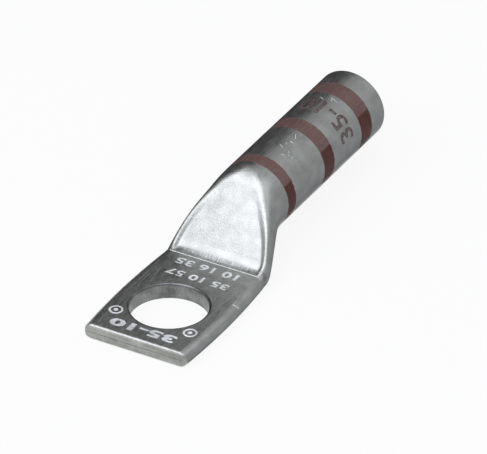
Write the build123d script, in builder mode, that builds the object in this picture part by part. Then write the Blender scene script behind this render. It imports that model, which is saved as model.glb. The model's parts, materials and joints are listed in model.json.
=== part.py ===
from build123d import *
import os
from math import asin, cos, hypot, pi, radians, sin, sqrt, tan

os.makedirs("parts", exist_ok=True)

# One-hole compression lug, pressed from a single length of tin-plated copper tube.
# The origin is the centre of the stud hole on the underside of the tongue. +X runs
# along the barrel to its open mouth, +Z is up from the contact face, and +Y is left.

# Tube that the lug is pressed from
tube_diameter = 10.15
wall = 1.14

# Barrel, the stretch of tube that stays round
mouth_x = 48.4
barrel_rise = 1.6
mouth_outer_chamfer = 0.15
mouth_inner_chamfer = 0.4

# Tongue, the stretch that is pressed flat and holds the stud hole
stud_hole = 10.3
front_reach = 8.8
bend_x = 11.55
hole_spread = 0.52
front_spread = 0.12
front_corner = 0.8
front_edge = 0.2
side_flat = 0.08
corner_lead = 0.12
hole_edge_round = 0.3
hole_break = 0.06
hole_break_height = 0.76
seam_width = 0.08
seam_depth = 0.1

# Throat, the ramp between the tongue and the barrel, seen from the side
throat_length = 10.45
bend_crease = 5.0
hollow_round = 2.6
ramp_angle = 52.0
crown_round = 4.0
cavity_start = 1.5
station_count = 10

# Folds along the throat's edges, with a shallow groove inside each one
fold_bulge = 0.28
bend_bulge = 0.11
fold_inset = 0.75
fold_width = 1.0
fold_height_at_bend = 0.3
fold_height_at_end = 0.1
groove_depth = 0.1
groove_min_y = 0.2

# Stations where the folds change, as fractions of the throat's length
fold_full = 0.12
fold_fade = 0.38
fold_end = 0.78
bulge_full = 0.2
bulge_end = 0.75

# Shape of the outline between its named points
keel_angle_at_bend = 8.0
keel_angle_at_barrel = 45.0
roof_pull_at_bend = 0.75
groove_pull_at_bend = 0.15
even_pull = 1 / 3
floor_pull = 0.7

# Joins, where the throat ends just under the skin of its neighbours
die_step = 0.05
join_step = 0.01
join_overlap = 0.3
join_fraction = 0.3

# Sizes that follow from those above
tube_radius = tube_diameter / 2
tube_perimeter = pi * tube_diameter
bore_radius = tube_radius - wall
tongue_thickness = 2 * wall
front_x = -front_reach
axis_z = barrel_rise + tube_radius
crown_z = axis_z + tube_radius
throat_end_x = bend_x + throat_length
ramp_slope = tan(radians(ramp_angle))
hollow_x = bend_x - hollow_round * sin(radians(bend_crease))
hollow_z = tongue_thickness + hollow_round * cos(radians(bend_crease))
ramp_x = hollow_x + hollow_round * sin(radians(ramp_angle))
ramp_z = hollow_z - hollow_round * cos(radians(ramp_angle))
ramp_crest_x = ramp_x + (crown_z - ramp_z) / ramp_slope
crest_reach = crown_round * tan(radians(ramp_angle / 2))
station_gap = throat_length / (station_count - 1)
stations = [bend_x + station_gap * i for i in range(station_count)]


def half_width(height):
    # The tube keeps its perimeter as it is pressed, so a lower section is a wider one.
    return tube_perimeter / 4 - (pi / 4 - 0.5) * height


bend_half_width = half_width(tongue_thickness) + bend_bulge
hole_half_width = bend_half_width + hole_spread
front_half_width = bend_half_width + front_spread


def ease(t, start=0, end=1):
    # A smooth step from 0 at the start to 1 at the end, level at both.
    t = min(max((t - start) / (end - start), 0), 1)
    return t * t * (3 - 2 * t)


def blend(first, last, t):
    return first + (last - first) * t


def roof_z(x):
    # Side view of the throat: a crease at the bend, a hollow, a straight ramp and a crown.
    if x <= bend_x:
        return tongue_thickness
    if x < ramp_x:
        return hollow_z - sqrt(hollow_round**2 - (x - hollow_x) ** 2)
    if x < ramp_crest_x - crest_reach * cos(radians(ramp_angle)):
        return ramp_z + (x - ramp_x) * ramp_slope
    if x < ramp_crest_x + crest_reach:
        return crown_z - crown_round + sqrt(crown_round**2 - (ramp_crest_x + crest_reach - x) ** 2)
    return crown_z


def floor_z(x):
    # The underside rises gently from the contact face to the lowest line of the barrel.
    return barrel_rise * ease((x - bend_x) / throat_length)


def join_inset(t):
    return die_step * (1 - ease(t, 0, join_fraction)) + join_step * ease(t, 1 - join_fraction, 1)


def bezier(start, start_pull, end, end_pull):
    # Control points of a curve from start to end that leaves and arrives along the pulls.
    first = (start[0] + start_pull[0], start[1] + start_pull[1])
    last = (end[0] - end_pull[0], end[1] - end_pull[1])
    return [start, first, last, end]


def throat_curves(x, inset, folded):
    # Right half of the closed outline at station x, from the middle of the roof round to
    # the middle of the floor. It is the flat tongue at the bend and the round tube at the
    # barrel. Between them the fold runs along the roof's edge. The inset moves the
    # outline inwards.
    t = min(max((x - bend_x) / throat_length, 0), 1)
    step = station_gap / 100
    roof_slope = (roof_z(x + step) - roof_z(x - step)) / (2 * step)
    inset_all = inset + join_inset(t)
    roof = roof_z(x) - inset_all * hypot(1, roof_slope)
    floor = floor_z(x) + inset_all
    middle = (roof + floor) / 2
    rise = roof - middle
    bulge = blend(bend_bulge, fold_bulge, ease(t, 0, bulge_full))
    bulge_left = bulge * (1 - ease(t, bulge_full, bulge_end))
    width = half_width(roof_z(x) - floor_z(x)) + bulge_left - inset_all
    corner = min(blend(wall, tube_radius, ease(t) ** 2) - inset_all * t, width)
    keel = min(blend(wall, tube_radius, ease(t)) - inset_all * t, width)
    fold = ease(t, 0, fold_full) * (1 - ease(t, fold_fade, fold_end)) if folded else 0

    def shoulder(angle):
        return (width - corner + corner * sin(angle), middle + rise * cos(angle))

    def heading(angle, length):
        # Level on the fold, and along the shoulder's own curve away from it.
        y = corner * cos(angle)
        z = -rise * sin(angle) * (1 - fold)
        scale = length / hypot(y, z)
        return (y * scale, z * scale)

    crest_angle = asin(1 - fold_inset)
    crest_y = width - fold_inset * corner
    groove_y = max(crest_y - fold_width * min(1, corner / 2), groove_min_y)
    groove_angle = asin(max(groove_y - (width - corner), 0) / corner)
    groove_span = crest_y - groove_y
    keel_angle = radians(blend(keel_angle_at_bend, keel_angle_at_barrel, t))
    centre = (0, roof)
    groove = (groove_y, shoulder(groove_angle)[1] - fold * groove_depth)
    fold_height = blend(fold_height_at_bend, fold_height_at_end, min(t / fold_end, 1))
    crest = (crest_y, blend(shoulder(crest_angle)[1], roof + fold_height, fold))
    side = (width, middle)
    keel_point = (width - keel + keel * sin(keel_angle), middle - rise * cos(keel_angle))
    bottom = (0, floor)

    # Pulls that make the outline follow an ellipse past the crest, the side and the keel
    side_pull = 4 / 3 * tan((pi / 2 - crest_angle) / 4)
    keel_pull = 4 / 3 * tan((pi / 2 - keel_angle) / 4)
    foot_pull = 4 / 3 * tan(keel_angle / 4)
    keel_heading = (-keel * cos(keel_angle), -rise * sin(keel_angle))
    roof_pull = blend(roof_pull_at_bend, even_pull, t) * groove_y
    groove_pull = blend(groove_pull_at_bend, even_pull, t) * groove_y
    fold_pull = even_pull * groove_span
    return [
        bezier(centre, (roof_pull, 0), groove, heading(groove_angle, groove_pull)),
        bezier(groove, heading(groove_angle, fold_pull), crest, heading(crest_angle, fold_pull)),
        bezier(crest, heading(crest_angle, side_pull * corner * cos(crest_angle)),
               side, (0, -side_pull * rise)),
        bezier(side, (0, -keel_pull * rise),
               keel_point, (keel_pull * keel_heading[0], keel_pull * keel_heading[1])),
        bezier(keel_point, (foot_pull * keel_heading[0], foot_pull * keel_heading[1]),
               bottom, (-foot_pull * keel - floor_pull * (width - keel), 0)),
    ]


def throat_sections(places, inset, folded):
    # One half outline at each place, closed along the lug's middle plane.
    sections = []
    for x in places:
        with BuildSketch(Plane.YZ.offset(x)) as section:
            with BuildLine():
                curves = throat_curves(x, inset, folded)
                for curve in curves:
                    Bezier(*curve)
                Line(curves[-1][-1], curves[0][0])
            make_face()
        sections.append(section.sketch)
    return sections


# Tongue: the tube's walls pressed together, with rounded sides and a sheared front
with BuildPart() as tongue:
    with BuildSketch(Plane.XY):
        with BuildLine():
            left = ThreePointArc((front_x, front_half_width), (0, hole_half_width),
                                 (bend_x, bend_half_width))
            right = ThreePointArc((front_x, -front_half_width), (0, -hole_half_width),
                                  (bend_x, -bend_half_width))
            Line(left @ 0, right @ 0)
            Line(left @ 1, right @ 1)
        make_face()
    extrude(amount=tongue_thickness)
    fillet(tongue.edges().filter_by(GeomType.CIRCLE), wall - side_flat / 2)
    corner_x = front_x + front_corner
    side_y = left.arc_center.Y + sqrt(left.radius**2 - (corner_x - left.arc_center.X) ** 2)
    with BuildSketch(Plane.XY):
        with Locations((front_x, side_y + corner_lead)):
            Rectangle(front_corner, 2 * front_corner, align=(Align.MIN, Align.CENTER))
        with Locations((corner_x, side_y + corner_lead - front_corner)):
            Circle(front_corner, mode=Mode.SUBTRACT)
        mirror(about=Plane.XZ)
    extrude(amount=tongue_thickness, mode=Mode.SUBTRACT)
    fillet(tongue.faces().sort_by(Axis.X)[0].edges().filter_by(Axis.Y), front_edge)
    with BuildSketch(Plane.YZ.offset(front_x)):
        with Locations((0, wall)):
            SlotOverall(2 * (front_half_width - wall), seam_width)
    extrude(amount=seam_depth, mode=Mode.SUBTRACT)

# Throat: one half is lofted from the flat section to the round one and mirrored
with BuildPart() as throat:
    places = [bend_x - join_overlap] + stations + [throat_end_x + join_overlap]
    loft(throat_sections(places, 0, True))
    mirror(about=Plane.XZ)

# Barrel: the round tube, chamfered at its mouth
with BuildPart() as barrel:
    with BuildSketch(Plane.YZ.offset(throat_end_x)):
        with Locations((0, axis_z)):
            Circle(tube_radius)
    extrude(amount=mouth_x - throat_end_x)
    chamfer(barrel.edges().filter_by(GeomType.CIRCLE).sort_by(Axis.X)[-1], mouth_outer_chamfer)

# Cavity: the round bore, then the space that closes between the walls under the ramp
with BuildPart() as cavity:
    cavity_x = bend_x + cavity_start
    inner_places = [cavity_x, (cavity_x + throat_end_x) / 2, throat_end_x, throat_end_x + join_overlap]
    loft(throat_sections(inner_places, wall, False), ruled=True)
    mirror(about=Plane.XZ)
    with BuildSketch(Plane.YZ.offset(throat_end_x)):
        with Locations((0, axis_z)):
            Circle(bore_radius)
    extrude(amount=mouth_x - throat_end_x)

# The finished lug, with its cavity, stud hole and broken edges
with BuildPart() as lug:
    add(tongue.part)
    add(throat.part)
    add(barrel.part)
    add(cavity.part, mode=Mode.SUBTRACT)
    mouth_edges = lug.edges().filter_by(GeomType.CIRCLE).group_by(Axis.X)[-1]
    chamfer(mouth_edges.sort_by(SortBy.RADIUS)[0], mouth_inner_chamfer)
    Hole(stud_hole / 2)
    rim = lug.edges().filter_by(GeomType.CIRCLE).filter_by(Plane.XY).sort_by(Axis.Z)[-1]
    fillet(rim, hole_edge_round)
    with BuildSketch(Plane.XY):
        Circle(stud_hole / 2 + hole_break)
    extrude(amount=hole_break_height, mode=Mode.SUBTRACT)

lug.part.label = "lug"
export_step(lug.part, "parts/lug.step")
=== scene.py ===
# %% [markdown]
# # A compression cable lug in tin-plated copper
#
# The real lug is one length of copper tube. One end stays round and takes the cable,
# and the other is pressed flat and punched for a stud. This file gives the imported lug
# its look: a finer skin than the CAD mesh, the stamped and inked marks, the dull tin
# plating, and a plain pale studio.

# %% Load the frame
import json
from math import asin, atan2, cos, hypot, pi, radians, sin, sqrt, tan

import bpy
from mathutils import Matrix, Quaternion, Vector


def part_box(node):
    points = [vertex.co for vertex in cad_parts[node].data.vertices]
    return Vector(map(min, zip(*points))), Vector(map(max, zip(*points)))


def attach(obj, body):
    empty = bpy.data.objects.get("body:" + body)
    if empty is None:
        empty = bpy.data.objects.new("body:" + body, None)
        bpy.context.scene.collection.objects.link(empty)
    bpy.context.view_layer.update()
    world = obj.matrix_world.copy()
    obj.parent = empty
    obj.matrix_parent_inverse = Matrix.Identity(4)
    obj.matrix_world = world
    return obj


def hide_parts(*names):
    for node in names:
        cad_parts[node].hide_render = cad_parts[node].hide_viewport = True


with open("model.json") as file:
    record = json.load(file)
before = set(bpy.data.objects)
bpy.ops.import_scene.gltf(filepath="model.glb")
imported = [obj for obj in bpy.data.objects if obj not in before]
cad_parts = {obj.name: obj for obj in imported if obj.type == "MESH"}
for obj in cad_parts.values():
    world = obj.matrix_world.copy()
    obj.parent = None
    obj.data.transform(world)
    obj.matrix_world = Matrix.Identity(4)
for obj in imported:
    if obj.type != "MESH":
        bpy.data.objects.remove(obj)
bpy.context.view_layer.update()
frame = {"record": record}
lug_low, lug_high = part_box("lug")
print("CAD box in mm:", [round(v * 1000, 2) for v in (*lug_low, *lug_high)])

# %% [markdown]
# ## Sizes
#
# Blender's scene is in metres, but a lug is easier to think about in millimetres, so
# sizes are written in millimetres and multiplied by MM where a mesh is made. The hole
# and the bore come from the record's mounts, and the outside from the CAD box. The
# wall is what lies between the tube's outside and its bore, and the tongue is two
# walls thick.

# %% Sizes in millimetres
MM = 0.001
mounts = {mount["name"]: mount for mount in frame["record"]["mounts"]}
hole_radius = mounts["stud_hole"]["dims"]["r_mm"]
bore_radius = mounts["wire_barrel"]["dims"]["r_mm"]
axis_z = mounts["wire_barrel"]["pos_m"][2] / MM
front_x = lug_low.x / MM
mouth_x = lug_high.x / MM
crown_z = lug_high.z / MM
tube_radius = crown_z - axis_z
wall = tube_radius - bore_radius
thickness = 2 * wall
barrel_rise = axis_z - tube_radius
bend_x = 11.55
throat_length = 10.45
throat_end_x = bend_x + throat_length
print("tube radius, wall and tongue in mm:", [round(v, 3) for v in (tube_radius, wall, thickness)])

# %% [markdown]
# ## The side view
#
# From the side, the throat climbs from the tongue to the barrel as a slight crease at
# the bend, a hollow, a straight ramp and a round crown. These are the CAD source's own
# curves, written as a formula, so the skin lies on the solid.

# %% Side view
bend_crease = radians(5)
hollow_round = 2.6
ramp_angle = radians(52)
crown_round = 4.0
ramp_slope = tan(ramp_angle)
hollow_x = bend_x - hollow_round * sin(bend_crease)
hollow_z = thickness + hollow_round * cos(bend_crease)
ramp_x = hollow_x + hollow_round * sin(ramp_angle)
ramp_z = hollow_z - hollow_round * cos(ramp_angle)
ramp_crest_x = ramp_x + (crown_z - ramp_z) / ramp_slope
crest_reach = crown_round * tan(ramp_angle / 2)


def ease(t, start=0, end=1):
    t = min(max((t - start) / (end - start), 0), 1)
    return t * t * (3 - 2 * t)


def blend(first, last, t):
    return first + (last - first) * t


def roof_z(x):
    if x <= bend_x:
        return thickness
    if x < ramp_x:
        return hollow_z - sqrt(hollow_round**2 - (x - hollow_x) ** 2)
    if x < ramp_crest_x - crest_reach * cos(ramp_angle):
        return ramp_z + (x - ramp_x) * ramp_slope
    if x < ramp_crest_x + crest_reach:
        return crown_z - crown_round + sqrt(crown_round**2 - (ramp_crest_x + crest_reach - x) ** 2)
    return crown_z


def floor_z(x):
    return barrel_rise * ease((x - bend_x) / throat_length)


print("crown begins and ends at x =", round(ramp_crest_x - crest_reach * cos(ramp_angle), 2),
      round(ramp_crest_x + crest_reach, 2))

# %% [markdown]
# ## The width
#
# Pressing a tube doesn't change the length of metal around it, so where the section is
# lower it is wider. The tongue's sides bow out a little around the stud hole, because
# the punch spreads the metal: each side is a circle's arc through three places.

# %% Width
bend_bulge = 0.11
hole_spread = 0.52
front_spread = 0.12


def pressed_half_width(height):
    return pi * tube_radius / 2 - (pi / 4 - 0.5) * height


def circle_through(x0, y0, x1, y1, x2, y2):
    a, b, c, d = x1 - x0, y1 - y0, x2 - x0, y2 - y0
    e = a * (x0 + x1) + b * (y0 + y1)
    f = c * (x0 + x2) + d * (y0 + y2)
    g = 2 * (a * (y2 - y1) - b * (x2 - x1))
    x, y = (d * e - b * f) / g, (a * f - c * e) / g
    return x, y, hypot(x0 - x, y0 - y)


bend_half_width = pressed_half_width(thickness) + bend_bulge
side_x, side_y, side_radius = circle_through(front_x, bend_half_width + front_spread,
                                             0, bend_half_width + hole_spread,
                                             bend_x, bend_half_width)


def tongue_half_width(x):
    return side_y + sqrt(side_radius**2 - (x - side_x) ** 2)


print("half width at the front, hole and bend:",
      [round(tongue_half_width(x), 2) for x in (front_x, 0, bend_x)])

# %% [markdown]
# ## One ring of the skin
#
# Each ring goes from the middle of the roof over a shallow groove and the raised fold
# to the side, and on over the keel to the middle of the floor. Five short curves join
# these points. The same count of vertices on each curve keeps the edges running
# straight from the tongue to the barrel. Between the folds the roof is a little fuller
# than the solid's, which turns part of the ramp away from the light.

# %% The points of half a ring
fold_bulge = 0.28
fold_inset = 0.75
fold_width = 1.0
fold_height_at_bend, fold_height_at_end = 0.3, 0.1
groove_depth = 0.1
roof_camber = 0.15
groove_min_y = 0.2
fold_full, fold_fade, fold_end = 0.12, 0.38, 0.78
bulge_full, bulge_end = 0.2, 0.75
keel_angle_at_bend, keel_angle_at_barrel = 8, 45
roof_pull_at_bend, groove_pull_at_bend, even_pull, floor_pull = 0.75, 0.15, 1 / 3, 0.7
curve_steps = (10, 8, 16, 10, 10)
half_steps = sum(curve_steps)
ring_size = 2 * half_steps


def cubic(p0, p1, p2, p3, u):
    v = 1 - u
    return tuple(v**3 * a + 3 * v * v * u * b + 3 * v * u * u * c + u**3 * d
                 for a, b, c, d in zip(p0, p1, p2, p3))


def half_outline(x, inset=0.0, folded=True):
    t = min(max((x - bend_x) / throat_length, 0), 1)
    step = throat_length / 1000
    slope = (roof_z(x + step) - roof_z(x - step)) / (2 * step)
    roof = roof_z(x) - inset * hypot(1, slope)
    floor = floor_z(x) + inset
    middle = (roof + floor) / 2
    rise = roof - middle
    bulge = blend(bend_bulge, fold_bulge, ease(t, 0, bulge_full))
    bulge_left = bulge * (1 - ease(t, bulge_full, bulge_end))
    width = pressed_half_width(roof_z(x) - floor_z(x)) + bulge_left - inset
    if x < bend_x:
        width = tongue_half_width(x) - inset
    corner = min(blend(wall, tube_radius, ease(t) ** 2) - inset * t, width)
    keel = min(blend(wall, tube_radius, ease(t)) - inset * t, width)
    fold = ease(t, 0, fold_full) * (1 - ease(t, fold_fade, fold_end)) if folded else 0

    def shoulder(angle):
        return (width - corner + corner * sin(angle), middle + rise * cos(angle))

    def heading(angle, length):
        y, z = corner * cos(angle), -rise * sin(angle) * (1 - fold)
        return (y * length / hypot(y, z), z * length / hypot(y, z))

    crest_angle = asin(1 - fold_inset)
    crest_y = width - fold_inset * corner
    groove_y = max(crest_y - fold_width * min(1, corner / 2), groove_min_y)
    groove_angle = asin(max(groove_y - (width - corner), 0) / corner)
    fold_pull = even_pull * (crest_y - groove_y)
    roof_pull = blend(roof_pull_at_bend, even_pull, t) * groove_y
    groove_pull = blend(groove_pull_at_bend, even_pull, t) * groove_y
    fold_height = blend(fold_height_at_bend, fold_height_at_end, min(t / fold_end, 1))
    keel_angle = radians(blend(keel_angle_at_bend, keel_angle_at_barrel, t))
    points = [
        (0, roof),
        (groove_y, shoulder(groove_angle)[1] - fold * groove_depth),
        (crest_y, blend(shoulder(crest_angle)[1], roof + fold_height, fold)),
        (width, middle),
        (width - keel + keel * sin(keel_angle), middle - rise * cos(keel_angle)),
        (0, floor),
    ]
    # Pulls that make the outline follow an ellipse past the crest, the side and the keel
    side_pull = 4 / 3 * tan((pi / 2 - crest_angle) / 4)
    keel_pull = 4 / 3 * tan((pi / 2 - keel_angle) / 4)
    foot_pull = 4 / 3 * tan(keel_angle / 4)
    keel_y, keel_z = -keel * cos(keel_angle), -rise * sin(keel_angle)
    pulls = [
        ((roof_pull, 0), heading(groove_angle, groove_pull)),
        (heading(groove_angle, fold_pull), heading(crest_angle, fold_pull)),
        (heading(crest_angle, side_pull * corner * cos(crest_angle)), (0, -side_pull * rise)),
        ((0, -keel_pull * rise), (keel_pull * keel_y, keel_pull * keel_z)),
        ((foot_pull * keel_y, foot_pull * keel_z), (-foot_pull * keel - floor_pull * (width - keel), 0)),
    ]
    outline = []
    for count, start, end, (leave, arrive) in zip(curve_steps, points, points[1:], pulls):
        first = (start[0] + leave[0], start[1] + leave[1])
        last = (end[0] - arrive[0], end[1] - arrive[1])
        outline += [cubic(start, first, last, end, i / count) for i in range(count)]
    outline.append(points[-1])
    inside = curve_steps[0]
    full_roof = [(y, z + fold * roof_camber * (1 - (y / groove_y) ** 2)) for y, z in outline[:inside]]
    return full_roof + outline[inside:]


def full_ring(half):
    # Right half as it comes, left half mirrored and run backwards
    return half + [(-y, z) for y, z in reversed(half[1:-1])]


print("vertices in a ring:", ring_size)

# %% [markdown]
# ## Where the rings stand
#
# Rings are close together where the surface bends and far apart where it is straight.
# The skin is one closed surface: it runs along the outside from the front edge to the
# mouth, turns over the rim and runs back along the bore into the closed throat. At the
# bend the die left a fine raised line across the tongue, which catches the light.

# %% Ring stations
front_edge = 0.32
mouth_outer_edge, mouth_inner_edge = 0.15, 0.4
cavity_x = bend_x + 1.5
foot_start, foot_end = bend_x + 0.02, bend_x + 1.2
die_step, die_fade = 0.05, 0.3
bend_line_width, bend_line_height = 0.16, 0.05
rings = []


def spread(start, end, count):
    return [blend(start, end, i / count) for i in range(count)]


def flattened(half, drop):
    # The front edge is rounded over: the ring loses height above and below
    return [(y, wall + (z - wall) * (1 - drop / wall)) for y, z in half]


def lifted(half, lift):
    return [(y, z + lift * ease(z, wall, thickness)) for y, z in half]


def round_ring(x, radius):
    # The last outline of the throat, moved out onto the exact circle
    angles = [atan2(y, z - axis_z) for y, z in half_outline(mouth_x)]
    return (x, full_ring([(radius * sin(a), axis_z + radius * cos(a)) for a in angles]))


for angle in spread(0, pi / 2, 5) + [pi / 2]:
    x = front_x + front_edge * (1 - cos(angle))
    rings.append((x, full_ring(flattened(half_outline(x), front_edge * (1 - sin(angle))))))
for x in spread(front_x + 2 * front_edge, bend_x - bend_line_width, 40):
    rings.append((x, full_ring(half_outline(x))))
for part in spread(0, 1, 4) + [1]:
    x = bend_x + bend_line_width * (part - 1)
    lift = bend_line_height * ease(1 - abs(2 * part - 1))
    rings.append((x, full_ring(lifted(half_outline(x), lift))))
for x in spread(foot_start, foot_end, 24) + spread(foot_end, throat_end_x, 88):
    t = (x - bend_x) / throat_length
    rings.append((x, full_ring(half_outline(x, die_step * (1 - ease(t, 0, die_fade))))))
for x in spread(throat_end_x, mouth_x - mouth_outer_edge, 30) + [mouth_x - mouth_outer_edge]:
    rings.append(round_ring(x, tube_radius))
rings.append(round_ring(mouth_x, tube_radius - mouth_outer_edge))
rings.append(round_ring(mouth_x, bore_radius + mouth_inner_edge))
for x in spread(mouth_x - mouth_inner_edge, throat_end_x, 12):
    rings.append(round_ring(x, bore_radius))
for x in spread(throat_end_x, cavity_x, 30):
    rings.append((x, full_ring(half_outline(x, wall, False))))
print("rings:", len(rings), "of", ring_size, "vertices")

# %% [markdown]
# ## Pressing the tube
#
# As in the factory, the start is a plain tube: a circle, extruded once for each ring.
# Then every ring is pressed to its outline. A vertex knows its ring from its height in
# the plain tube, and its place in the ring from its angle.

# %% Plain tube
def only(obj):
    bpy.ops.object.select_all(action="DESELECT")
    obj.select_set(True)
    bpy.context.view_layer.objects.active = obj


bpy.ops.object.select_all(action="DESELECT")
bpy.ops.mesh.primitive_circle_add(vertices=ring_size, radius=1, fill_type="NOTHING")
lug = bpy.context.object
bpy.ops.object.mode_set(mode="EDIT")
bpy.ops.mesh.select_all(action="SELECT")
for _ in rings[1:]:
    bpy.ops.mesh.extrude_region_move(TRANSFORM_OT_translate={"value": (0, 0, 1)})
bpy.ops.object.mode_set(mode="OBJECT")
print("vertices of the plain tube:", len(lug.data.vertices))

# %% Pressed tube
for vertex in lug.data.vertices:
    x, outline = rings[round(vertex.co.z)]
    place = round(atan2(vertex.co.y, vertex.co.x) / (2 * pi) * ring_size) % ring_size
    y, z = outline[place]
    vertex.co = Vector((x, y, z)) * MM
bpy.ops.object.mode_set(mode="EDIT")
bpy.ops.mesh.select_all(action="DESELECT")
bpy.ops.mesh.select_mode(type="EDGE")
bpy.ops.mesh.select_non_manifold()
bpy.ops.mesh.edge_face_add()
bpy.ops.mesh.select_all(action="SELECT")
bpy.ops.mesh.normals_make_consistent(inside=False)
bpy.ops.object.mode_set(mode="OBJECT")
lug.name = "lug_skin"
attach(lug, "root")
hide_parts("lug")
print("faces of the pressed tube:", len(lug.data.polygons))

# %% [markdown]
# ## Colours and a node helper
#
# Colours are written as they look on a screen, in sRGB hex, and one function turns
# them linear. One more function adds a shader node with its settings and links, so a
# material reads from top to bottom like a recipe. A Mix node has sockets for numbers
# and for colours under the same names, so they are told apart by their places.

# %% Helpers for materials
NUMBER_A, NUMBER_B, COLOUR_A, COLOUR_B, COLOUR_OUT = 2, 3, 6, 7, 2


def linear(hex_colour):
    values = [int(hex_colour[i:i + 2], 16) / 255 for i in (1, 3, 5)]
    return tuple(v / 12.92 if v <= 0.04045 else ((v + 0.055) / 1.055) ** 2.4 for v in values) + (1,)


def add_node(tree, kind, sockets, output=0, **settings):
    node = tree.nodes.new(kind)
    for name, value in settings.items():
        setattr(node, name, value)
    for key, value in sockets.items():
        if isinstance(value, bpy.types.NodeSocket):
            tree.links.new(value, node.inputs[key])
        else:
            node.inputs[key].default_value = value
    return node.outputs[output] if len(node.outputs) else node


def per_mm(size):
    # Scale of a noise whose grains are this many millimetres across
    return 1 / (size * MM)


print("mid grey turned linear:", round(linear("#808080")[0], 3))

# %% [markdown]
# ## Dull tin plating
#
# Lugs are plated in tin, which dulls to a grey metal. Its look comes from four things:
# soft clouds where the plating is thicker, a fine grain, faint lines drawn along the
# tube, and dark streaks up the hollow where the die dragged, whose darkness is partly
# painted shade in the hollow. The real grain is a few hundredths of a millimetre, too
# fine to show, so it is drawn at 0.2 mm. The plating is a full metal with the default
# IOR. Clouds change its tone, the grain and lines change its tone a little less, and
# they also give it its roughness and its relief.

# %% Parts of the plating
cloud_size, grain_size, line_size, drag_size = 1.6, 0.2, 0.16, 0.13
fine_share = 0.4
tone_low, tone_high = 0.65, 1.15
relief = 0.022 * MM


def between(tree, value, start, full, fade, end):
    # 1 from full to fade, falling softly to 0 at start and at end
    rise = add_node(tree, "ShaderNodeMapRange",
                    {"Value": value, "From Min": start, "From Max": full}, interpolation_type="SMOOTHSTEP")
    fall = add_node(tree, "ShaderNodeMapRange",
                    {"Value": value, "From Min": end, "From Max": fade}, interpolation_type="SMOOTHSTEP")
    return add_node(tree, "ShaderNodeMath", {0: rise, 1: fall}, operation="MULTIPLY")


def streaks(tree, point, stretch, size):
    drawn = add_node(tree, "ShaderNodeMapping", {"Vector": point, "Scale": stretch})
    return add_node(tree, "ShaderNodeTexNoise", {"Vector": drawn, "Scale": per_mm(size), "Detail": 3})


def start_plating(name, dark, pale, stretch):
    # Tone of bare tin from its clouds, grain and lines, with its relief
    material = bpy.data.materials.new(name)
    material.use_nodes = True
    tree = material.node_tree
    tree.nodes.clear()
    point = add_node(tree, "ShaderNodeTexCoord", {}, output="Object")
    cloud = add_node(tree, "ShaderNodeTexNoise", {"Vector": point, "Scale": per_mm(cloud_size), "Detail": 4})
    grain = add_node(tree, "ShaderNodeTexNoise", {"Vector": point, "Scale": per_mm(grain_size), "Detail": 2})
    lines = streaks(tree, point, stretch, line_size)
    fine = add_node(tree, "ShaderNodeMath", {0: grain, 1: lines}, operation="ADD")
    level = add_node(tree, "ShaderNodeMath", {0: fine, 1: fine_share, 2: cloud}, operation="MULTIPLY_ADD")
    tone = add_node(tree, "ShaderNodeMapRange", {"Value": level, "From Min": tone_low, "From Max": tone_high})
    colour = add_node(tree, "ShaderNodeMix", {0: tone, COLOUR_A: linear(dark), COLOUR_B: linear(pale)},
                      output=COLOUR_OUT, data_type="RGBA")
    return material, tree, point, fine, colour


def finish_plating(tree, colour, metallic, roughness, height):
    normal = add_node(tree, "ShaderNodeBump", {"Height": height, "Strength": 1, "Distance": relief})
    shader = add_node(tree, "ShaderNodeBsdfPrincipled",
                      {"Base Color": colour, "Metallic": metallic, "Roughness": roughness, "Normal": normal})
    add_node(tree, "ShaderNodeOutputMaterial", {"Surface": shader})


print("tin's relief in mm:", relief / MM)

# %% [markdown]
# ## Plating on the tube, with its die marks and painted shade
#
# The main finish starts from the plating above, with its lines along the tube. Where
# the die dragged, a stretch of X at the foot of the ramp, short streaks run up the
# hollow. They darken the colour there, partly as painted shade in the hollow, and they
# will be added to the relief.

# %% Plating, die marks and painted shade
drag_and_shade_start, drag_and_shade_full, drag_and_shade_fade, drag_and_shade_end = 11.6, 11.85, 12.3, 12.75
drag_relief = 1.2
dull_tin, tree, point, fine, colour = start_plating("dull_tin_plating", "#b9bbb7", "#d2d4d0", (0.06, 1, 1))
x, y, z = add_node(tree, "ShaderNodeSeparateXYZ", {"Vector": point}).node.outputs
x_mm = add_node(tree, "ShaderNodeMath", {0: x, 1: 1 / MM}, operation="MULTIPLY")
drag_and_shade_place = between(tree, x_mm, drag_and_shade_start, drag_and_shade_full, drag_and_shade_fade, drag_and_shade_end)
drag = streaks(tree, point, (0.12, 1, 0.12), drag_size)
drag_height = add_node(tree, "ShaderNodeMath", {0: drag, 1: drag_and_shade_place}, operation="MULTIPLY")
# Die streaks in the tone; their darkening at the foot of the ramp is partly painted shade in the hollow
drag_streaks_and_painted_shade = add_node(tree, "ShaderNodeMapRange", {"Value": drag, "From Min": 0.35, "From Max": 0.65,
                                                  "To Min": 0.45, "To Max": 1.1})
drag_streak_and_shade_factor = add_node(tree, "ShaderNodeMix", {0: drag_and_shade_place, NUMBER_A: 1.0, NUMBER_B: drag_streaks_and_painted_shade},
                      data_type="FLOAT")
colour = add_node(tree, "ShaderNodeVectorMath", {0: colour, "Scale": drag_streak_and_shade_factor}, operation="SCALE")
print("die marks from x to x in mm:", drag_and_shade_start, drag_and_shade_end)

# %% [markdown]
# ## Ink bands
#
# Three brown bands on the barrel show where the crimping tool presses. A roller printed
# them, so their ends overlap on one side, where the ink is thicker and darker, and
# their edges are a little ragged. The ink is thin, so the metal's shine comes partly
# through. A band is a stretch of X in the shader, and the overlap is a stretch of the
# angle around the barrel. The bore has no ink, so ink stops halfway through the wall.

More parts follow.
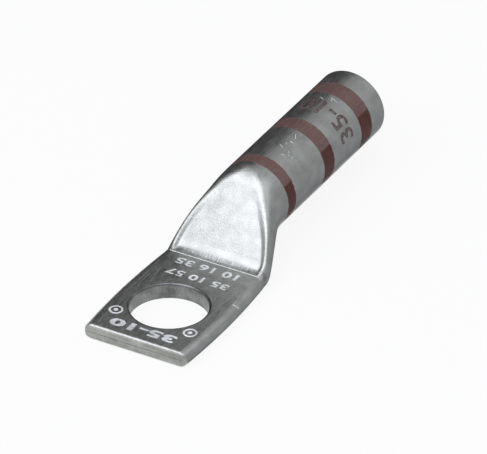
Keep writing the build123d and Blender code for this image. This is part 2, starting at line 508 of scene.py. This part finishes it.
# %% Ink bands
bands = ((22.3, 24.3), (32.0, 34.65), (42.0, 44.85))
band_edge, band_ragged = 0.12, 0.3
overlap_start, overlap_end, overlap_edge = -2.4, -1.02, 0.03
overlap_cover = 0.15
ink_pale, ink_dark = linear("#6b3a31"), linear("#5a2a20")
below = add_node(tree, "ShaderNodeMath", {0: z, 1: axis_z * MM}, operation="SUBTRACT")
turn = add_node(tree, "ShaderNodeMath", {0: y, 1: below}, operation="ARCTAN2")
wander = add_node(tree, "ShaderNodeMath", {0: fine, 1: band_ragged, 2: -band_ragged},
                  operation="MULTIPLY_ADD")
ragged_x = add_node(tree, "ShaderNodeMath", {0: x_mm, 1: wander}, operation="ADD")
ink = 0.0
for start, end in bands:
    band = between(tree, ragged_x, start - band_edge / 2, start + band_edge / 2,
                   end - band_edge / 2, end + band_edge / 2)
    ink = add_node(tree, "ShaderNodeMath", {0: ink, 1: band}, operation="ADD")
around = add_node(tree, "ShaderNodeCombineXYZ", {"Y": y, "Z": below})
from_axis = add_node(tree, "ShaderNodeVectorMath", {0: around}, output="Value", operation="LENGTH")
outside = add_node(tree, "ShaderNodeMath", {0: from_axis, 1: (tube_radius - wall / 2) * MM},
                   operation="GREATER_THAN")
ink = add_node(tree, "ShaderNodeMath", {0: ink, 1: outside}, operation="MULTIPLY")
overlap = between(tree, turn, overlap_start, overlap_start + overlap_edge,
                  overlap_end - overlap_edge, overlap_end)
ink_tone = add_node(tree, "ShaderNodeMix", {0: overlap, COLOUR_A: ink_pale, COLOUR_B: ink_dark},
                    output=COLOUR_OUT, data_type="RGBA")
thin = add_node(tree, "ShaderNodeMapRange", {"Value": fine, "From Min": 0.8, "From Max": 1.25,
                                             "To Min": 0.88, "To Max": 0.78})
thick = add_node(tree, "ShaderNodeMath", {0: overlap, 1: overlap_cover, 2: thin}, operation="MULTIPLY_ADD")
cover = add_node(tree, "ShaderNodeMath", {0: ink, 1: thick}, operation="MULTIPLY", use_clamp=True)
colour = add_node(tree, "ShaderNodeMix", {0: cover, COLOUR_A: colour, COLOUR_B: ink_tone},
                  output=COLOUR_OUT, data_type="RGBA")
metallic = add_node(tree, "ShaderNodeMapRange", {"Value": cover, "To Min": 1.0, "To Max": 0.3})
roughness = add_node(tree, "ShaderNodeMapRange", {"Value": fine, "From Min": 0.8, "From Max": 1.2,
                                                  "To Min": 0.28, "To Max": 0.46})
height = add_node(tree, "ShaderNodeMath", {0: drag_height, 1: drag_relief, 2: fine},
                  operation="MULTIPLY_ADD")
finish_plating(tree, colour, metallic, roughness, height)
lug.data.materials.append(dull_tin)
print("bands from x to x in mm:", bands)

# %% [markdown]
# ## Struck, sheared and inked metal
#
# Four more finishes belong to the tools that leave them. A number punch or a scratch
# leaves a rough floor that scatters light and looks pale; its near-white colour is
# partly a painted highlight, the light that the strokes catch. The hole's wall is
# sheared, with fine lines along the stroke of the punch, and its darker colour is partly
# painted shade inside the hole. The front end is sheared too, with its lines from side
# to side. The barrel's number is printed in the same brown ink, worn thin in spots.

# %% Finishes left by tools
# Struck tin: broken up by the blow, so it scatters light and looks pale; its near-white colour is partly a
# painted highlight on the strokes
struck_and_highlight, tree, point, fine, colour = start_plating("struck_tin", "#c9cbca", "#fafbfa", (1, 1, 1))
finish_plating(tree, colour, 0.25, 0.5, fine)

# Sheared wall: darker metal, with fine lines up and down; its darkness is partly painted shade inside the
# hole
sheared_wall, tree, point, fine, colour = start_plating("sheared_wall", "#636564", "#979998", (1, 1, 0.05))
finish_plating(tree, colour, 1.0, 0.36, fine)

# Sheared end: paler and smoother than the plating beside it, with lines across
sheared_end, tree, point, fine, colour = start_plating("sheared_end", "#8b8d89", "#b6b8b4", (1, 0.05, 1))
finish_plating(tree, colour, 1.0, 0.4, fine)

# Worn brown ink: thin over the tin, so bare metal shows in spots
printed, tree, point, fine, colour = start_plating("worn_brown_ink", "#bdbfbb", "#d0d2ce", (1, 1, 1))
worn = add_node(tree, "ShaderNodeMapRange", {"Value": fine, "From Min": 0.95, "From Max": 1.2,
                                             "To Min": 0.95, "To Max": 0.35})
colour = add_node(tree, "ShaderNodeMix", {0: worn, COLOUR_A: colour, COLOUR_B: linear("#57302f")},
                  output=COLOUR_OUT, data_type="RGBA")
metallic = add_node(tree, "ShaderNodeMapRange", {"Value": worn, "To Min": 1.0, "To Max": 0.3})
finish_plating(tree, colour, metallic, 0.42, fine)
print("finishes:", [m.name for m in (dull_tin, struck_and_highlight, sheared_wall, sheared_end, printed)])

# %% [markdown]
# ## Punching the stud hole
#
# The hole is punched from above: the rim is drawn in round, the wall is sheared smooth
# for two thirds of its depth, and the rest breaks away slightly larger. The punch is a
# disk, extruded and resized down its own profile, and a boolean takes it out of the
# skin. The boolean hands the punch's finish to the faces that it cuts.

# %% Cutting with a tool
def cut_with(cutter, finish):
    cutter.data.materials.clear()
    cutter.data.materials.append(finish)
    only(lug)
    boolean = lug.modifiers.new("cut", "BOOLEAN")
    boolean.operation = "DIFFERENCE"
    boolean.solver = "EXACT"
    boolean.material_mode = "TRANSFER"
    boolean.object = cutter
    bpy.ops.object.modifier_apply(modifier=boolean.name)
    bpy.data.objects.remove(cutter)


# %% Punch
hole_steps, rim_steps = 128, 8
rim_round = 0.3
break_height, break_slope, break_step = 0.76, 0.06, 0.06
clear = 1.0
profile = [(hole_radius + break_step, -clear), (hole_radius + break_step, break_height - break_slope / 2),
           (hole_radius, break_height + break_slope / 2)]
for angle in spread(0, pi / 2, rim_steps) + [pi / 2]:
    profile.append((hole_radius + rim_round * (1 - cos(angle)), thickness - rim_round * (1 - sin(angle))))
profile.append((hole_radius + rim_round, thickness + clear))

bpy.ops.object.select_all(action="DESELECT")
bpy.ops.mesh.primitive_circle_add(vertices=hole_steps, radius=profile[0][0] * MM, fill_type="NGON",
                                  location=(0, 0, profile[0][1] * MM))
punch = bpy.context.object
bpy.ops.object.transform_apply(location=True)
bpy.ops.object.mode_set(mode="EDIT")
bpy.ops.mesh.select_mode(type="FACE")
bpy.ops.mesh.select_all(action="SELECT")
for (r0, z0), (r1, z1) in zip(profile, profile[1:]):
    bpy.ops.mesh.extrude_region_move(TRANSFORM_OT_translate={"value": (0, 0, (z1 - z0) * MM)})
    bpy.ops.transform.resize(value=(r1 / r0, r1 / r0, 1), center_override=(0, 0, 0))
bpy.ops.mesh.select_all(action="SELECT")
bpy.ops.mesh.normals_make_consistent(inside=False)
bpy.ops.object.mode_set(mode="OBJECT")
cut_with(punch, sheared_wall)
print("faces after the punch:", len(lug.data.polygons))

# %% [markdown]
# ## Shearing the front end
#
# The front is sheared with round corners, and between the two walls stays the tube's
# closed seam. A corner tool is a block from which a cylinder of the corner's radius is
# taken. One more block skims the end, so that it gets the sheared finish, and leaves
# the rounded edges above and below as they are. The seam is a thin bar that cuts into
# the end and a little way round the sides.

# %% Corner tools and seam
front_corner, corner_lead = 0.8, 0.12
seam_depth, seam_width = 0.15, 0.06
end_cut, end_margin = 0.02, 0.3
corner_x = front_x + front_corner
corner_y = tongue_half_width(corner_x) + corner_lead - front_corner


def block(name, low, high):
    bpy.ops.object.select_all(action="DESELECT")
    centre = [(a + b) / 2 * MM for a, b in zip(low, high)]
    bpy.ops.mesh.primitive_cube_add(size=1, location=centre)
    made = bpy.context.object
    made.name = name
    made.scale = [(b - a) * MM for a, b in zip(low, high)]
    bpy.ops.object.transform_apply(location=True, scale=True)
    return made


for side in (-1, 1):
    low_y, high_y = sorted((side * corner_y, side * (corner_y + 2 * front_corner)))
    corner = block("corner_tool", (front_x - clear, low_y, -clear), (corner_x, high_y, thickness + clear))
    bpy.ops.object.select_all(action="DESELECT")
    bpy.ops.mesh.primitive_cylinder_add(vertices=96, radius=front_corner * MM, depth=4 * thickness * MM,
                                        location=(corner_x * MM, side * corner_y * MM, wall * MM))
    kept = bpy.context.object
    bpy.ops.object.transform_apply(location=True)
    only(corner)
    boolean = corner.modifiers.new("round", "BOOLEAN")
    boolean.operation, boolean.solver, boolean.object = "DIFFERENCE", "EXACT", kept
    bpy.ops.object.modifier_apply(modifier=boolean.name)
    bpy.data.objects.remove(kept)
    cut_with(corner, sheared_end)
seam = block("seam_tool", (front_x - clear, -corner_y - seam_depth, wall - seam_width / 2),
             (front_x + seam_depth, corner_y + seam_depth, wall + seam_width / 2))
end = block("end_tool", (front_x - clear, -corner_y - clear, end_margin),
            (front_x + end_cut, corner_y + clear, thickness - end_margin))
cut_with(end, sheared_end)
cut_with(seam, dull_tin)
print("faces after the corners and the seam:", len(lug.data.polygons))

# %% [markdown]
# ## Stamped numbers
#
# Lugs are stamped with their sizes. This one carries plain numbers only: its conductor
# size, stud, width and length. Each number is a text object turned into a mesh, fitted
# to a height and a length, and laid on the tongue so that it reads from the barrel's
# side. It cuts a tenth of a millimetre deep. Two plain rings with a dot stand beside
# the hole. Every stamp stays a tool of its own, because a boolean can lose the whole
# skin to a tool whose parts cross each other.

# %% Number tools
stamp_depth = 0.1


def number(body, height, length, stroke):
    # Digits centred on the origin, in the XY plane, as deep as they are high
    bpy.ops.object.select_all(action="DESELECT")
    bpy.ops.object.text_add()
    text = bpy.context.object
    text.data.body = body
    text.data.align_x, text.data.align_y = "CENTER", "CENTER"
    text.data.resolution_u = 3
    text.data.offset = stroke
    text.data.extrude = 0.5
    bpy.ops.object.convert(target="MESH")
    made = bpy.context.object
    only(made)
    bpy.ops.object.mode_set(mode="EDIT")
    bpy.ops.mesh.select_all(action="SELECT")
    bpy.ops.mesh.remove_doubles(threshold=0.0001)
    bpy.ops.mesh.normals_make_consistent(inside=False)
    bpy.ops.object.mode_set(mode="OBJECT")
    sides = [[v.co[i] for v in made.data.vertices] for i in range(3)]
    middle = [(min(side) + max(side)) / 2 for side in sides]
    size = made.dimensions
    fit = Matrix.Diagonal((length / size.x * MM, height / size.y * MM, height / size.z * MM, 1))
    made.data.transform(fit @ Matrix.Translation(-Vector(middle)))
    return made


def lay_on_tongue(made, x, y, height):
    # Text reads towards +Y with its top towards the front, sunk by the stamp's depth
    turn = Matrix.Rotation(pi / 2, 4, "Z")
    place = Matrix.Translation(Vector((x, y, thickness + height / 2 - stamp_depth)) * MM)
    made.data.transform(place @ turn)
    return made


stamps = []
for body, height, length, stroke, x, y in (("35 10 57", 1.35, 9.1, 0.03, 7.25, 0.05),
                                           ("10 16 35", 1.4, 9.1, 0.03, 9.9, 0.1),
                                           ("35-10", 1.7, 9.6, 0.045, -6.6, 0.1)):
    stamps.append(lay_on_tongue(number(body, height, length, stroke), x, y, height))
print("numbers:", len(stamps))

# %% Ring tools
ring_x, ring_y = -4.15, 5.5
ring_radius, ring_stroke, ring_rise = 0.82, 0.19, 0.114
dot_radius, dot_rise = 0.5, 0.38
for side in (-1, 1):
    bpy.ops.object.select_all(action="DESELECT")
    centre = Vector((ring_x, side * ring_y, thickness + ring_rise)) * MM
    bpy.ops.mesh.primitive_torus_add(location=centre, major_radius=ring_radius * MM,
                                     minor_radius=ring_stroke * MM, major_segments=48, minor_segments=8)
    stamps.append(bpy.context.object)
    bpy.ops.object.transform_apply(location=True)
    bpy.ops.object.select_all(action="DESELECT")
    bpy.ops.mesh.primitive_uv_sphere_add(segments=16, ring_count=8, radius=dot_radius * MM,
                                         location=Vector((ring_x, side * ring_y, thickness + dot_rise)) * MM)
    stamps.append(bpy.context.object)
    bpy.ops.object.transform_apply(location=True)
print("stamps with the rings:", len(stamps))

# %% [markdown]
# ## Scratches
#
# Handling has left a nick on the tongue's edge and short scratches on the barrel. Each
# is a thin bar with pointed ends, set into the surface. On the barrel a scratch is
# placed by its X and its angle around the tube, and then come its length and its slant.

# %% Scratch tools
point_inset = 0.4


def bar(length, width):
    # The two end faces are inset and then drawn together, each into a point
    made = block("scratch_tool", (-length / 2, -width / 2, -width / 2), (length / 2, width / 2, width / 2))
    bpy.ops.object.mode_set(mode="EDIT")
    bpy.ops.mesh.select_mode(type="FACE")
    bpy.ops.mesh.select_all(action="DESELECT")
    bpy.ops.object.mode_set(mode="OBJECT")
    for side in made.data.polygons:
        side.select = abs(side.normal.x) > 0.9
    bpy.ops.object.mode_set(mode="EDIT")
    bpy.ops.mesh.inset(thickness=width * point_inset * MM)
    bpy.ops.mesh.merge(type="COLLAPSE")
    bpy.ops.object.mode_set(mode="OBJECT")
    return made


def lay_on_round(made, axis, turn, radius, slant):
    # From the axis, turned about it to one side, out by the radius and slanted there
    made.data.transform(Matrix.Translation(Vector(axis) * MM) @ Matrix.Rotation(radians(turn), 4, "X")
                        @ Matrix.Translation(Vector((0, 0, radius)) * MM)
                        @ Matrix.Rotation(radians(slant), 4, "Z"))
    return made


scratch_width, scratch_rise = 0.1, 0.02
scratches = ((41.2, -16.5, 1.3, 70), (41.0, -12, 0.8, 20), (40.6, 2, 0.7, 60), (30.8, -15, 1.0, 30),
             (27.0, -31.6, 0.8, 100), (27.8, -9.6, 0.7, 60), (28.6, -13, 0.5, 10), (26.4, -22, 0.6, 120),
             (27.4, -26, 0.5, 40), (29.4, -18, 0.5, 80))
for x, angle, length, slant in scratches:
    scratch = bar(length, scratch_width)
    stamps.append(lay_on_round(scratch, (x, 0, axis_z), -angle, tube_radius + scratch_rise, slant))
nick_x, nick_length, nick_width, nick_turn, nick_slant = 4.35, 1.6, 0.2, 35, -72
nick_axis = (nick_x, wall - tongue_half_width(nick_x), wall)
stamps.append(lay_on_round(bar(nick_length, nick_width), nick_axis, nick_turn, wall, nick_slant))
for stamp in stamps:
    cut_with(stamp, struck_and_highlight)
print("faces after the stamps and scratches:", len(lug.data.polygons))

# %% [markdown]
# ## Inked number
#
# The barrel's number is printed around the tube between two bands, also with its top
# towards the front. The flat number is cut into strips, so that it can bend, and
# wrapped: what was its length becomes an angle. It is cut only a hundredth of a
# millimetre deep, and it is the ink finish on those faces that shows.

# %% Ink tool
ink_depth, ink_clear = 0.01, 0.5
ink_height, ink_length, ink_stroke = 3.1, 9.0, 0.02
ink_x, ink_angle = 38.6, radians(-26)
strip = 0.25
wrap = number("35-10", ink_height, ink_length, ink_stroke)
only(wrap)
bpy.ops.object.mode_set(mode="EDIT")
for y in spread(-ink_length / 2, ink_length / 2, round(ink_length / strip)):
    bpy.ops.mesh.select_all(action="SELECT")
    bpy.ops.mesh.bisect(plane_co=(y * MM, 0, 0), plane_no=(1, 0, 0), threshold=1e-8)
bpy.ops.object.mode_set(mode="OBJECT")
for vertex in wrap.data.vertices:
    along, up, out = vertex.co / MM
    angle = ink_angle + along / tube_radius
    radius = tube_radius + (ink_clear if out > 0 else -ink_depth)
    vertex.co = Vector((ink_x - up, radius * sin(angle), axis_z + radius * cos(angle))) * MM
bpy.ops.object.mode_set(mode="EDIT")
bpy.ops.mesh.select_all(action="SELECT")
bpy.ops.mesh.normals_make_consistent(inside=False)
bpy.ops.object.mode_set(mode="OBJECT")
cut_with(wrap, printed)
print("faces after the ink:", len(lug.data.polygons))
only(lug)
bpy.ops.object.shade_smooth_by_angle(angle=radians(30))

# %% [markdown]
# ## Camera
#
# The photograph looks down on the tongue from its front right, through a long lens:
# the tube's sides run almost parallel. The camera stands 0.9 m away on the line that
# was fitted to the hole, the tongue and the barrel.

# %% Camera
target = Vector((10.46, -5.04, 10.04)) * MM
view = Vector((0.73075, 0.41545, -0.54167)).normalized()
distance = 900 * MM
picture_width = 487
focal_pixels = 6991.685
camera_data = bpy.data.cameras.new("camera")
camera = bpy.data.objects.new("camera", camera_data)
bpy.context.scene.collection.objects.link(camera)
camera.location = target - view * distance
camera.rotation_mode = "QUATERNION"
camera.rotation_quaternion = view.to_track_quat("-Z", "Y")
camera_data.lens = focal_pixels / picture_width * camera_data.sensor_width
camera_data.clip_start, camera_data.clip_end = 0.01, 100
bpy.context.scene.camera = camera
print("camera at", [round(v, 3) for v in camera.location], "lens", round(camera_data.lens, 1), "mm")

# %% [markdown]
# ## Floor and world
#
# The photograph's background is plain white. The floor is pale paper, made almost white
# for the camera and for reflections by Light Path, and it keeps the lug's soft shadow.
# The world around it is one even light.

# %% Floor and world
floor_white, world_level = 0.9, 0.38


def seen_directly(tree):
    # 1 for camera, glossy and transmission rays
    path = add_node(tree, "ShaderNodeLightPath", {}).node.outputs
    seen = add_node(tree, "ShaderNodeMath", {0: path["Is Camera Ray"], 1: path["Is Glossy Ray"]},
                    operation="MAXIMUM")
    return add_node(tree, "ShaderNodeMath", {0: seen, 1: path["Is Transmission Ray"]}, operation="MAXIMUM")


bpy.ops.object.select_all(action="DESELECT")
bpy.ops.mesh.primitive_plane_add(size=3)
floor = bpy.context.object
floor.name = "paper_floor"
paper = bpy.data.materials.new("pale_paper")
paper.use_nodes = True
tree = paper.node_tree
tree.nodes.clear()
share = add_node(tree, "ShaderNodeMath", {0: seen_directly(tree), 1: floor_white}, operation="MULTIPLY")
matt = add_node(tree, "ShaderNodeBsdfDiffuse", {"Color": linear("#ebebeb")})
white = add_node(tree, "ShaderNodeEmission", {"Strength": 1.0})
mixed = add_node(tree, "ShaderNodeMixShader", {0: share, 1: matt, 2: white})
add_node(tree, "ShaderNodeOutputMaterial", {"Surface": mixed})
floor.data.materials.append(paper)

world = bpy.context.scene.world or bpy.data.worlds.new("studio")
bpy.context.scene.world = world
world.use_nodes = True
tree = world.node_tree
tree.nodes.clear()
background = add_node(tree, "ShaderNodeBackground", {"Color": (0.96, 0.99, 1, 1), "Strength": world_level})
add_node(tree, "ShaderNodeOutputWorld", {"Surface": background})
print("floor and world made")

# %% [markdown]
# ## Light and cards
#
# Metal shows what stands around it. A large soft lamp above the front end whitens the
# ramp, and a smaller one behind on the right lights that side of the barrel. Past the
# mouth on the left stands a dark card, which darkens the tongue and the barrel's crown,
# and a grey card in front gives the front end its tone. Black paper lies on the table
# on the left, and grey paper on the right. The cards are seen only in reflections, and
# they cast no shadow.

# %% Soft lamps
lit_centre = Vector((20, 0, 5))
lamp_distance = 500


def face(obj, centre, away, roll=0.0):
    # Centre in mm, back turned along the vector away
    obj.location = Vector(centre) * MM
    obj.rotation_mode = "QUATERNION"
    obj.rotation_quaternion = Vector(away).to_track_quat("Z", "Y") @ Quaternion((0, 0, 1), roll)


def soft_lamp(name, width, length, radiance, direction):
    # The power that gives an ellipse of this size, in mm, its radiance
    data = bpy.data.lights.new(name, "AREA")
    data.shape = "ELLIPSE"
    data.size, data.size_y = width * MM, length * MM
    data.energy = radiance * pi * pi * data.size * data.size_y / 4
    data.color = (0.91, 0.91, 1.0)
    lamp = bpy.data.objects.new(name, data)
    bpy.context.scene.collection.objects.link(lamp)
    face(lamp, lit_centre + Vector(direction).normalized() * lamp_distance, direction)
    print(name, "power:", round(data.energy, 2), "W")


soft_lamp("top_lamp", 650, 860, 1.72, (-0.5, 0.17, 0.85))
soft_lamp("fill_lamp", 340, 340, 0.72, (0.3, -0.55, 0.78))

# %% Cards
def card(name, width, height, colour):
    bpy.ops.object.select_all(action="DESELECT")
    bpy.ops.mesh.primitive_plane_add(size=1)
    made = bpy.context.object
    made.name = name
    made.scale = (width * MM, height * MM, 1)
    made.visible_camera = False
    made.visible_diffuse = False
    made.visible_shadow = False
    material = bpy.data.materials.new(name)
    material.use_nodes = True
    material.node_tree.nodes.clear()
    paint = add_node(material.node_tree, "ShaderNodeBsdfDiffuse", {"Color": linear(colour)})
    add_node(material.node_tree, "ShaderNodeOutputMaterial", {"Surface": paint})
    made.data.materials.append(material)
    return made


paper_z = 0.3
face(card("black_card", 120, 120, "#454440"), (68, 74, 26), (0.72, 0.43, 0.55), radians(45))
face(card("black_paper", 600, 500, "#202020"), (314, 248, paper_z), (0, 0, 1))
face(card("grey_paper", 600, 500, "#adadad"), (292, -254, paper_z), (0, 0, 1))
face(card("front_card", 140, 80, "#a8a8a8"), (-240, 129, 75), (-0.87, 0.43, 0.25))
print("cards made")

# %% [markdown]
# ## Finish
#
# The view transform is Standard, so colours come out as written.

# %% Finish
bpy.context.scene.view_settings.view_transform = "Standard"
